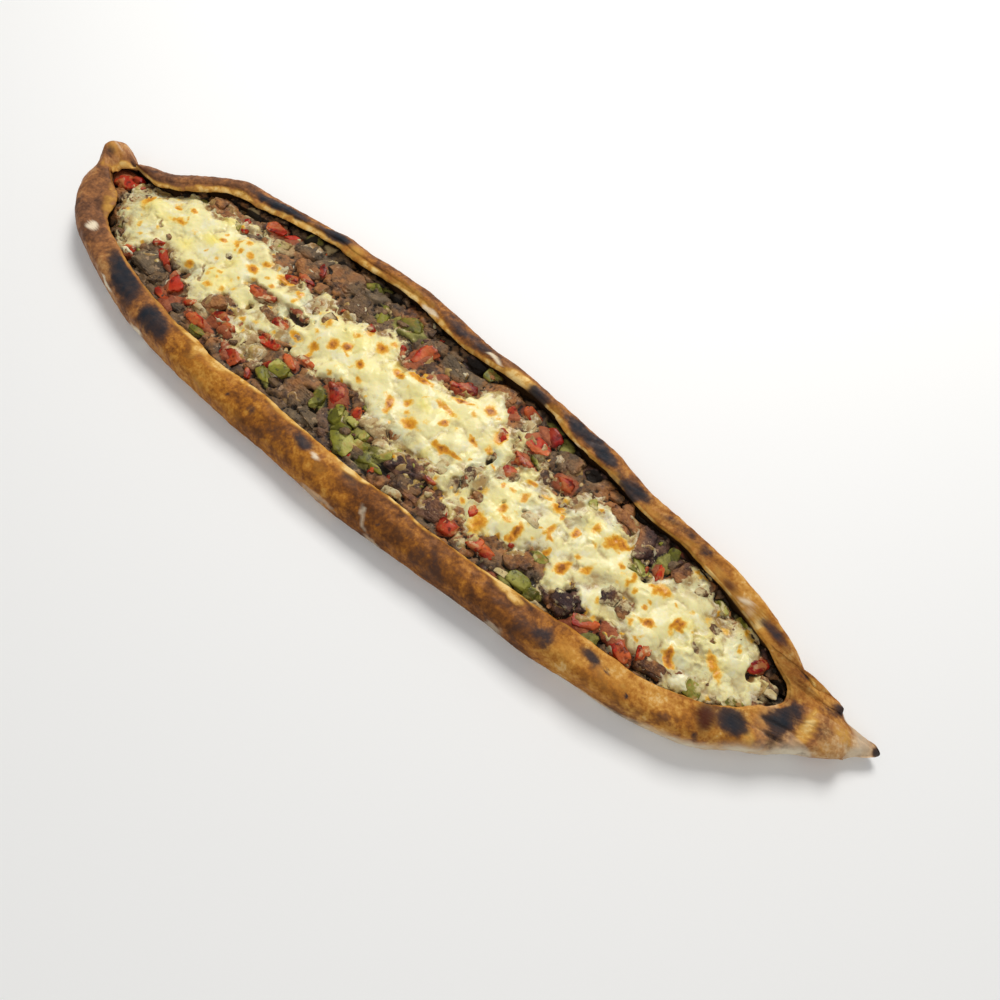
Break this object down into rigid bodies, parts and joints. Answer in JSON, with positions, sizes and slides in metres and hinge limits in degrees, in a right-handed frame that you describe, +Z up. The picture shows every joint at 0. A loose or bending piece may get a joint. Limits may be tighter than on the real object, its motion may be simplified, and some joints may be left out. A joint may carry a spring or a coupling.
{
  "type": "turkish pide",
  "caption": "Boat-shaped Turkish pide: long flatbread with a rolled, scorched rim, pinched knot and tail ends, a meat and pepper filling and melted browned cheese.",
  "frame": {"origin": "under the middle of the loaf, on the surface it lies on", "axes": "+X along the loaf from the pinched knot to the pointed tail, +Y across it from the nearer rim to the farther rim, +Z up from the flat underside"},
  "size_m": [0.565, 0.1382, 0.0246],
  "materials": {
    "dough": "baked flatbread crust, golden to dark brown with charred spots and flour",
    "filling": "moist minced and chopped meat with small vegetable pieces",
    "cheese": "melted pale yellow cheese with orange-brown blisters",
    "meat": "cooked grey-brown meat",
    "tomato": "roasted tomato pieces with skin",
    "red_pepper": "roasted red pepper",
    "green_pepper": "soft cooked green pepper",
    "onion": "soft cooked onion"
  },
  "bodies": {
    "root": {"cheese": "cheese", "dough": "dough", "filling": "filling", "green_pepper_01": "green_pepper", "green_pepper_02": "green_pepper", "green_pepper_03": "green_pepper", "green_pepper_04": "green_pepper", "green_pepper_05": "green_pepper", "green_pepper_06": "green_pepper", "green_pepper_07": "green_pepper", "green_pepper_08": "green_pepper", "green_pepper_09": "green_pepper", "meat_01": "meat", "meat_02": "meat", "meat_03": "meat", "meat_04": "meat", "meat_05": "meat", "meat_06": "meat", "meat_07": "meat", "meat_08": "meat", "meat_09": "meat", "meat_10": "meat", "meat_11": "meat", "meat_12": "meat", "meat_13": "meat", "meat_14": "meat", "meat_15": "meat", "meat_16": "meat", "meat_17": "meat", "meat_18": "meat", "meat_19": "meat", "meat_20": "meat", "meat_21": "meat", "meat_22": "meat", "meat_23": "meat", "meat_24": "meat", "onion_01": "onion", "red_pepper_01": "red_pepper", "red_pepper_02": "red_pepper", "red_pepper_03": "red_pepper", "red_pepper_04": "red_pepper", "red_pepper_05": "red_pepper", "tomato_01": "tomato", "tomato_02": "tomato", "tomato_03": "tomato", "tomato_04": "tomato", "tomato_05": "tomato", "tomato_06": "tomato", "tomato_07": "tomato", "tomato_08": "tomato", "tomato_09": "tomato", "tomato_10": "tomato", "tomato_11": "tomato", "tomato_12": "tomato", "tomato_13": "tomato", "tomato_14": "tomato", "tomato_15": "tomato", "tomato_16": "tomato", "tomato_17": "tomato", "tomato_18": "tomato"}
  },
  "joints": []
}
